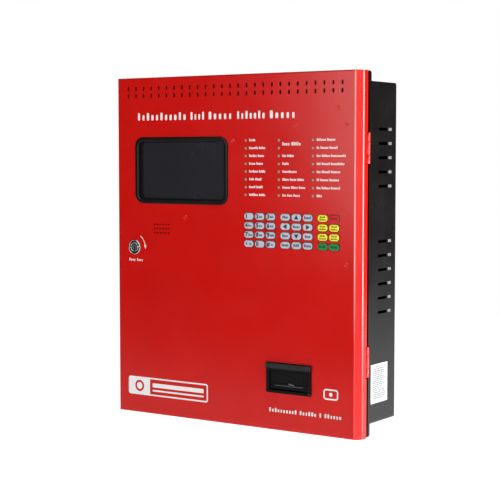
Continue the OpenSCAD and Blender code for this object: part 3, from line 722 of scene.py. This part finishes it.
def build_display(finishes, door_y):
    """Moulded black surround with a rolled lip, and the dark screen set back inside it."""
    centre, low, high = spot_of("display_window")
    flange = (high.x - low.x, high.z - low.z)
    hole = (flange[0] - SURROUND_REBATE, flange[1] - SURROUND_REBATE)
    glass_y = high.y + 0.1
    rim = rounded_rect(flange, 3, centre, 10)

    def at(inset):
        size = (hole[0] - 2 * inset, hole[1] - 2 * inset)
        return rounded_rect(size, SURROUND_CORNER - inset, centre, 10)

    surround = Piece("screen_surround", finishes["surround"])
    lip = [(at(inset), door_y - proud) for inset, proud in SURROUND_LIP]
    surround.shell((rim, low.y), (at(0), low.y), *lip, (at(7.1), glass_y), (rim, glass_y))
    sensor = (-86.9, centre[1] - hole[1] / 2 + 3.0)  # small bump in the lip under the screen
    surround.lathe([(0, door_y - 2.0), (0.5, door_y - 1.9), (0.8, door_y - 1.5), (0, door_y - 1.4)],
                   sensor, steps=16)
    surround.finish("door", "black_plastic", replaces=["display_window"])
    screen = Piece("screen_glass", finishes["window_glass"])
    screen.prism(at(SCREEN_INSET), glass_y - 0.6, glass_y)
    screen.finish("door", "window_glass", replaces=["display_window"])
    # The screen's black border: printed round its edges, and widened on the left as painted shade
    # where a deeper recess would show its wall in shadow.
    mask = Piece("screen_border_and_painted_shade", finishes["surround"])
    bared = 2 * SURROUND_LIP[-1][0]
    opening = (hole[0] - bared - 6.4, hole[1] - bared - 2.0)
    shade_shifted_centre = (centre[0] + 2.2, centre[1])  # the border is wider on the left, painted shade for a deeper recess's shaded left wall
    visible = rounded_rect(opening, 5.5, shade_shifted_centre, 10)
    mask.frame(at(MASK_INSET), visible, glass_y - 0.75, glass_y - 0.55)
    mask.finish("door", "black_plastic")


STUD_SPOTS = ((-83.2, 45.7), (1.2, 156.0), (106.0, 176.5), (174.6, 199.6), (188.2, 177.0),
              (188.2, 55.2), (187.5, -12.1))
# A weld mark's section from its rim to its middle: radius, and height above the door's front.
STUD_SECTION = ((3.5, -0.05), (3.2, 0.05), (2.7, 0.24), (2.2, 0.3), (1.7, 0.18), (1.2, 0.06),
                (0, 0.02))


def build_stud_marks(finishes, door_y):
    """Faint rings where the studs behind the door are welded on."""
    piece = Piece("door_stud_marks", finishes["red_paint"])
    section = [(0, door_y + 0.1)] + [(r, door_y - proud) for r, proud in STUD_SECTION]
    for spot in STUD_SPOTS:
        piece.lathe(section, spot, steps=32)
    piece.finish("door", "red_paint", smooth=80)


KEYWAY_R, THREAD_R, THREAD_ROOT_R = 6.08, 9.0, 8.75
THREAD_PITCH = 0.9
COLLAR_BACK = 3.2  # how far the collar and its neck reach behind the lock's front
NUT_R, NUT_THICK = 13.5, 4
# The collar's two bright lands: radius, and depth behind the lock's front.
COLLAR_INNER = ((6.08, 0.55), (6.25, 0.2), (6.6, 0), (7.0, 0.06), (7.3, 0.4))
COLLAR_RIM = ((9.6, 0.5), (9.8, 0.2), (10.1, 0.05), (10.5, 0.18), (10.85, 0.5), (11.0, 0.9),
              (11.0, 1.75), (9.0, 1.8))


def build_lock(finishes, door_y):
    """Cam lock: chrome collar with a dark groove, threaded barrel and hexagon nut."""
    centre, low, high = spot_of("lock_barrel")
    front, back = low.y, high.y
    piece = Piece("lock_collar", finishes["lock_chrome"], finishes["lock_shadow"])
    inner = [(KEYWAY_R, front + 6)] + [(r, front + depth) for r, depth in COLLAR_INNER]
    rim = [(r, front + depth) for r, depth in COLLAR_RIM] + [(THREAD_R, front + COLLAR_BACK)]
    piece.lathe(inner, centre)
    piece.lathe([inner[-1], (7.5, front + 0.8), (9.5, front + 0.8), rim[0]], centre, 1)
    piece.lathe(rim, centre)
    thread = [rim[-1]]
    y = front + COLLAR_BACK + 0.4
    while y < back - 1.2:
        thread += [(THREAD_ROOT_R, y), (THREAD_R - 0.02, y + THREAD_PITCH / 2)]
        y += THREAD_PITCH
    thread += [(8.6, back), (KEYWAY_R, back), inner[0]]
    piece.lathe(thread, centre)
    nut_y = door_y + 1.5
    piece.prism(circle(NUT_R, centre, 6), nut_y, nut_y + NUT_THICK)
    piece.finish("door", "lock_chrome", smooth=40, replaces=["lock_barrel"])


def build_printer_trim(finishes, door_y):
    """Ribs, top bar and screw on the printer's front."""
    centre, low, high = spot_of("printer_frame")
    face = door_y - 2.0
    trim = Piece("printer_trim", finishes["black_plastic"])
    for x in (low.x + 4.2, high.x - 4.2):
        spot = (x, low.z + 17.2)
        trim.loft((rounded_rect((1.5, 30), 0.5, spot, 3), face + 0.05),
                  (rounded_rect((0.9, 29.4), 0.4, spot, 3), face - 0.55))
    trim.finish("door", "black_plastic")

    bar = Piece("printer_bar", finishes["bar_plastic"])
    width, height, spot = high.x - low.x, 7.0, (centre[0], high.z - 4.6)
    full = rounded_rect((width + 0.2, height), 1.2, spot, 4)
    eased = rounded_rect((width - 0.6, height - 0.8), 1.0, spot, 4)
    bar.loft((full, door_y - 3.2), (full, door_y - 4.0), (eased, door_y - 4.4))
    bar.finish("door", "black_plastic")

    screw = Piece("printer_screw", finishes["dark_metal"])
    head = ((0, -0.1), (0.45, -0.1), (0.5, -0.45), (1.2, -0.4), (1.5, -0.1), (1.5, 0.3), (0, 0.3))
    screw.lathe([(r, face + behind) for r, behind in head], (high.x - 2.6, low.z + 3.0), steps=24)
    screw.finish("door", "dark_metal", smooth=50)


def build_flap_trim(finishes, door_y):
    """Two raised outlines on the printer's flap, and the steel strip that paper tears on."""
    centre, low, high = spot_of("printer_flap")
    cx, front = centre[0], door_y + 0.2
    z0, z1 = low.z + 1.6, high.z - 0.8
    flap = Piece("flap_trim", finishes["black_plastic"])
    for size, line, corners, spot, proud in (
            ((58.0, z1 - z0), 2.2, (1.5, 0.8), (cx, (z0 + z1) / 2), 0.25),
            ((48, 9.6), 1.0, (1.2, 0.6), (cx, z1 - 8.6), 0.3)):
        hollow = (size[0] - 2 * line, size[1] - 2 * line)
        outer, inner = rounded_rect(size, corners[0], spot), rounded_rect(hollow, corners[1], spot)
        flap.frame(outer, inner, front - proud, front + 0.1)
    flap.finish("printer_flap", "black_plastic")

    ledge_z = low.z + 6.4  # far enough up to swing clear of the frame when the flap is open
    cutter = Piece("paper_cutter", finishes["cutter_steel"])
    cutter.loft((rounded_rect((47, 1.0), 0.4, (cx, ledge_z), 4), front + 0.1),
                (rounded_rect((46.8, 1.0), 0.4, (cx, ledge_z), 4), front - 0.9),
                (rounded_rect((46.2, 0.7), 0.3, (cx, ledge_z), 4), front - 1.1))
    wedge = [(cx + dx, ledge_z + dz) for dx, dz in ((0.4, 2.3), (9.6, 1.5), (9.8, 3.0), (0.6, 4.4))]
    cutter.prism(wedge, front - 1.9, front - 1.3)
    cutter.finish("printer_flap", "dark_metal")


BOX_SIDE = 196.0  # x of the cabinet's right wall, mm
LABEL_Y, LABEL_Z = (-69.0, -21.5), (-209.5, -154.7)
LABEL_THICK, LABEL_INK = 0.15, 0.03
LABEL_MARGIN, LABEL_LINE = 3.4, 0.45  # the printed outline's distance from the edge, and its width
LABEL_HEAD = 10.0  # how far below the sticker's top the outline starts
LABEL_GAP = 0.05  # keeps the outline's four bars from sharing corners


def build_side_label(finishes):
    """White rating sticker low on the right side, with rows of grey stand-in text."""
    piece = Piece("rating_label", finishes["label_stock"], finishes["label_ink"])
    top = BOX_SIDE + LABEL_THICK

    def panel(ya, yb, za, zb, x0=top, x1=top + LABEL_INK, material=1):
        corners = [(ya, za), (yb, za), (yb, zb), (ya, zb)]
        a = [piece.bm.verts.new((x0 * MM, y * MM, z * MM)) for y, z in corners]
        b = [piece.bm.verts.new((x1 * MM, y * MM, z * MM)) for y, z in corners]
        piece.bridge(a, b, material)
        piece.cap(a, material)
        piece.cap(b, material)

    (y0, y1), (z0, z1) = LABEL_Y, LABEL_Z
    panel(y0, y1, z0, z1, BOX_SIDE, top, 0)
    ya, yb, za, zb = y0 + LABEL_MARGIN, y1 - LABEL_MARGIN, z0 + LABEL_MARGIN, z1 - LABEL_HEAD
    panel(ya, yb, za, za + LABEL_LINE)
    panel(ya, yb, zb, zb + LABEL_LINE)
    panel(ya, ya + LABEL_LINE, za + LABEL_LINE + LABEL_GAP, zb - LABEL_GAP)
    panel(yb - LABEL_LINE, yb, za + LABEL_LINE + LABEL_GAP, zb - LABEL_GAP)
    draw = random.Random("label")
    z = z1 - 3.4
    row = 0
    while z > z0 + 6:
        x = y0 + 5.4
        limit = y1 - draw.uniform(5.4, 16 if row % 3 else 8)
        if row < 2:  # two short heading rows
            x += 9 - 5 * row
            limit = y1 - 14 + 6 * row
        while x < limit:
            w = draw.uniform(2.0, 6.5)
            panel(x, min(x + w, limit), z - 1.7, z)
            x += w + 0.8
        z -= 3.3 if row == 1 else 2.7
        row += 1
    piece.finish("enclosure")


def box_at(piece, low, size, y0, y1, material=0):
    """Plain block with its low corner at (x, z)."""
    (x, z), (w, h) = low, size
    piece.prism([(x, z), (x + w, z), (x + w, z + h), (x, z + h)], y0, y1, material)


def slotted_screw(piece, spot, y, r):
    """Small screw head in material 0 that stands forwards from y, with a slot in material 1."""
    piece.lathe([(0, y), (r, y), (r, y - 0.5), (r * 0.8, y - 0.75), (0, y - 0.8)], spot, steps=14)
    box_at(piece, (spot[0] - r * 0.75, spot[1] - 0.22), (r * 1.5, 0.44), y - 0.5, y - 0.84, 1)


PART_CELL = 5.2
# Width, height and depth of the parts to choose from.
PART_SIZES = ((3.2, 1.6, 0.7), (1.6, 3.2, 0.7), (3.0, 2.6, 1.1), (2.0, 1.2, 0.6))
END_CAP = 0.18  # share of a part's length that each solder end takes


def chip_parts(piece, zone, y, out, count, seed):
    """Scatters small surface-mounted parts over a zone (x0, z0, x1, z1) on a coarse grid."""
    draw = random.Random(seed)
    x0, z0, x1, z1 = zone
    columns, rows = int((x1 - x0) / PART_CELL), int((z1 - z0) / PART_CELL)
    spots = [(x0 + PART_CELL * i, z0 + PART_CELL * j) for i in range(columns) for j in range(rows)]
    for x, z in draw.sample(spots, min(count, len(spots))):
        w, h, tall = draw.choice(PART_SIZES)
        body = draw.choice((0, 0, 1))
        a = (x + 0.6, z + 0.6)
        box_at(piece, a, (w, h), y, y + out * tall, body)
        if w >= h:
            size, far = (w * END_CAP, h), (a[0] + w * (1 - END_CAP), a[1])
        else:
            size, far = (w, h * END_CAP), (a[0], a[1] + h * (1 - END_CAP))
        for corner in (a, far):
            box_at(piece, (corner[0] - 0.04, corner[1] - 0.04), (size[0] + 0.08, size[1] + 0.08),
                   y, y + out * (tall + 0.06), 2)


def chip_legs(piece, low, size, y, out):
    """Rows of pins along the two upright sides of a chip."""
    pins = int(size[1] / 1.9)
    reach = 1.4
    for k in range(pins):
        z = low[1] + (k + 0.5) * size[1] / pins
        for x in (low[0] - reach, low[0] + size[0]):
            box_at(piece, (x, z - 0.35), (reach, 0.7), y, y + out * 0.5, 2)


def board_piece(name, finishes):
    """A piece for parts on a board: slot 0 is chip black, 1 tan ceramic and 2 tinned metal."""
    return Piece(name, *(finishes[f] for f in ("black_plastic", "tan_ceramic", "zinc_steel")))


# Zones of scattered parts (x0, z0, x1, z1), each with its number of parts.
MAIN_ZONES = (((-146, 122, 56, 148), 70), ((-88, 62, -26, 88), 34), ((-142, 49, 92, 61), 46),
              ((76, 62, 96, 178), 30))
DOOR_ZONES = (((16, 122, 180, 168), 60), ((70, 84, 98, 118), 14), ((124, 84, 182, 118), 24))
TERMINAL_ROWS, TERMINAL_PITCH, BLOCK_PITCH = (182, 36), 5, 36


def build_main_board_parts(finishes):
    """Small parts, chip pins and terminal screws on the board in the cabinet."""
    low, high = spot_of("terminal_blocks")[1:]
    face = high.y
    piece = board_piece("main_board_parts", finishes)
    for k, (zone, count) in enumerate(MAIN_ZONES):
        chip_parts(piece, zone, face, -1, count, f"main{k}")
    for i in range(3):
        chip_legs(piece, (-120 + i * 45, 92), (26, 26), face, -1)
    piece.finish("enclosure", "black_plastic")
    screws = Piece("terminal_screws", finishes["zinc_steel"], finishes["dark_metal"])
    for z in TERMINAL_ROWS:
        for i in range(6):
            for j in range(6):
                x = -136 + i * BLOCK_PITCH + (j + 0.5) * TERMINAL_PITCH
                slotted_screw(screws, (x, z + 5.5), low.y + 4.05, 1.45)
    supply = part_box("power_supply")[0].y / MM + 10  # its terminal strip is set back from its front
    for k in range(8):
        slotted_screw(screws, (-0.5, -80.5 + k * 9.5), supply, 2.6)
    screws.finish("enclosure", "zinc_steel")


def build_door_board_parts(finishes):
    """Parts and solder joints on the rear of the boards behind the door."""
    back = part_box("front_board")[1].y / MM - 9.0  # the board's rear face, under its tallest parts
    piece = board_piece("door_board_parts", finishes)
    for k, (zone, count) in enumerate(DOOR_ZONES):
        chip_parts(piece, zone, back, 1, count, f"door{k}")
    chip_legs(piece, (40, 90), (26, 26), back, 1)
    chip_legs(piece, (100, 98), (18, 12), back, 1)
    joint = [(0, back), (0.9, back), (0.5, back + 0.5), (0, back + 0.9)]
    for name in KEY_NAMES:
        x, z = spot_of("key_" + name)[0]
        for dx in (-3.2, 3.2):
            for dz in (-2.2, 2.2):
                piece.lathe(joint, (x + dx, z + dz), 2, steps=8)
    piece.finish("door", "black_plastic")
    low, high = spot_of("display_module")[1:]
    rear = board_piece("display_board_parts", finishes)
    zone = (low.x + 8, low.z + 28, low.x + 44, low.z + 96)
    chip_parts(rear, zone, high.y - 0.4, 1, 40, "display")
    rear.finish("door", "black_plastic")


BATTERY_PITCH = 167


def build_battery_labels(finishes):
    """Plain two-tone labels and polarity marks on the stand-in batteries."""
    low = spot_of("batteries")[1]
    front = low.y
    label_front = front - 0.12
    piece = Piece(
        "battery_labels", finishes["label_stock"], finishes["label_ink"], finishes["key_red"])
    for x in (low.x, low.x + BATTERY_PITCH):
        centre = (x + 75.5, low.z + 58)
        piece.prism(rounded_rect((104, 30), 2, centre), label_front, front)
        band = rounded_rect((104, 7), 1.5, (centre[0], centre[1] + 11))
        piece.prism(band, front - 0.16, label_front, 1)
        for row in range(3):
            start = (centre[0] - 47, centre[1] + 1 - row * 5)
            greek_words(piece, [7, 5, 8][row:] + [6], start, 2.6, 2.4, label_front, f"battery{row}",
                        fill=0.6, material=1)
        plus, minus = (x + 21, low.z + 87), (x + 130, low.z + 87)
        piece.prism(rounded_rect((6, 1.4), 0.3, plus), front - 0.1, front, 2)
        piece.prism(rounded_rect((1.4, 6), 0.3, plus), front - 0.13, front, 2)
        piece.prism(rounded_rect((6, 1.4), 0.3, minus), front - 0.1, front)
    piece.finish("enclosure")


# ---------------------------------------------------------------- stage


LIT_SPOT = (0, -0.06, 0)
# Name, azimuth (0 is straight in front and 90 to the right), elevation, distance, size, radiance;
# angles are in degrees, and distance and size in metres.
SOFTBOXES = (
    ("front_softbox", -8, 17, 2.3, (1.6, 1.6), 2.95),
    ("right_softbox", 63.5, 4, 1.9, (0.8, 0.9), 4.3),
    ("side_softbox", 106, 4, 1.7, (0.6, 1.5), 15.3),
    ("top_softbox", 10, 80, 2.4, (1.6, 1.6), 1.5),
)
FILL_STRENGTH = 0.04
FLOOR_SIDE, FLOOR_FRONT, FLOOR_BACK, FLOOR_Z = 4.0, -2.3, 4.2, -0.62
# The floor's glow is dimmed round this spot in front of the panel, a painted soft shadow, and is
# full from there outwards.
SHADOW_PATCH_SPOT = (-0.5, -1.3, FLOOR_Z)
SHADOW_PATCH_GLOW, FULL_GLOW, SHADOW_PATCH_RADIUS, FULL_RADIUS = 0.08, 1.0, 0.8, 1.98


def softbox(name, azimuth, elevation, distance, size, radiance):
    """Area light on a sphere round the panel, turned to it."""
    a, e = math.radians(azimuth), math.radians(elevation)
    data = bpy.data.lights.new(name, "AREA")
    data.shape = "RECTANGLE"
    data.size, data.size_y = size
    data.energy = radiance * math.pi * size[0] * size[1]
    light = bpy.data.objects.new(name, data)
    light.location = Vector(LIT_SPOT) + distance * Vector(
        (math.sin(a) * math.cos(e), -math.cos(a) * math.cos(e), math.sin(e)))
    light.rotation_euler = (Vector(LIT_SPOT) - light.location).to_track_quat("-Z", "Y").to_euler()
    bpy.context.scene.collection.objects.link(light)


def build_world():
    """White to the camera, dim to everything else, so the softboxes shape the reflections."""
    world = bpy.data.worlds.new("studio")
    bpy.context.scene.world = world
    world.use_nodes = True
    nodes, links = world.node_tree.nodes, world.node_tree.links
    nodes.clear()
    out = nodes.new("ShaderNodeOutputWorld")
    mix = nodes.new("ShaderNodeMixShader")
    seen = nodes.new("ShaderNodeBackground")
    fill = nodes.new("ShaderNodeBackground")
    path = nodes.new("ShaderNodeLightPath")
    seen.inputs["Color"].default_value = (1, 1, 1, 1)
    fill.inputs["Color"].default_value = (0.95, 0.97, 1, 1)
    fill.inputs["Strength"].default_value = FILL_STRENGTH
    links.new(path.outputs["Is Camera Ray"], mix.inputs[0])
    links.new(fill.outputs[0], mix.inputs[1])
    links.new(seen.outputs[0], mix.inputs[2])
    links.new(mix.outputs[0], out.inputs["Surface"])


def build_floor():
    """Pale and softly lit, with a painted soft shadow in front of the panel, which keeps bounce
    light low.
    """
    f = Finish("studio_floor", Roughness=0.9)
    f.shader.inputs["Emission Color"].default_value = (1, 1, 1, 1)
    away = f.node("ShaderNodeVectorMath", (0, f.place), operation="DISTANCE")
    away.inputs[1].default_value = SHADOW_PATCH_SPOT
    # dimmed glow round the spot in front of the panel: a painted soft shadow on the floor
    glow_with_painted_shadow = f.spread(away.outputs["Value"], SHADOW_PATCH_GLOW, FULL_GLOW, SHADOW_PATCH_RADIUS, FULL_RADIUS)
    f.set("Emission Strength", glow_with_painted_shadow)
    dark, light = srgb(244, 244, 244), srgb(248, 248, 248)
    f.set("Base Color", f.ramp(f.noise(0.6), (0.3, dark), (0.7, light)))
    mesh = bpy.data.meshes.new("floor")
    corners = [(-FLOOR_SIDE, FLOOR_FRONT), (FLOOR_SIDE, FLOOR_FRONT), (FLOOR_SIDE, FLOOR_BACK),
               (-FLOOR_SIDE, FLOOR_BACK)]
    mesh.from_pydata([(x, y, FLOOR_Z) for x, y in corners], [], [(0, 1, 2, 3)])
    mesh.materials.append(f.material)
    floor = bpy.data.objects.new("floor", mesh)
    bpy.context.scene.collection.objects.link(floor)


CAMERA_PLACE = (1.1319, -1.7447, 0.1360)
CAMERA_LENS, CAMERA_SENSOR = 100.15, 36  # mm
LOOK_DOWN, LOOK_LEFT = 3.902, 34.186  # degrees


def build_camera():
    """The camera at the photograph's viewing angle."""
    data = bpy.data.cameras.new("camera")
    data.lens, data.sensor_width = CAMERA_LENS, CAMERA_SENSOR
    camera = bpy.data.objects.new("camera", data)
    camera.location = CAMERA_PLACE
    camera.rotation_euler = (math.radians(90 - LOOK_DOWN), 0, math.radians(LOOK_LEFT))
    bpy.context.scene.collection.objects.link(camera)
    bpy.context.scene.camera = camera


def main():
    """Builds the whole scene round the CAD frame."""
    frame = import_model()
    finishes = make_finishes()
    dress_cad_nodes(frame, finishes)
    door_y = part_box("door_panel")[0].y / MM
    build_keys(finishes)
    build_prints(finishes, door_y)
    build_display(finishes, door_y)
    build_stud_marks(finishes, door_y)
    build_printer_trim(finishes, door_y)
    build_flap_trim(finishes, door_y)
    build_lock(finishes, door_y)
    build_side_label(finishes)
    build_main_board_parts(finishes)
    build_door_board_parts(finishes)
    build_battery_labels(finishes)
    build_world()
    build_floor()
    for settings in SOFTBOXES:
        softbox(*settings)
    build_camera()
    bpy.context.scene.view_settings.view_transform = "Standard"


main()
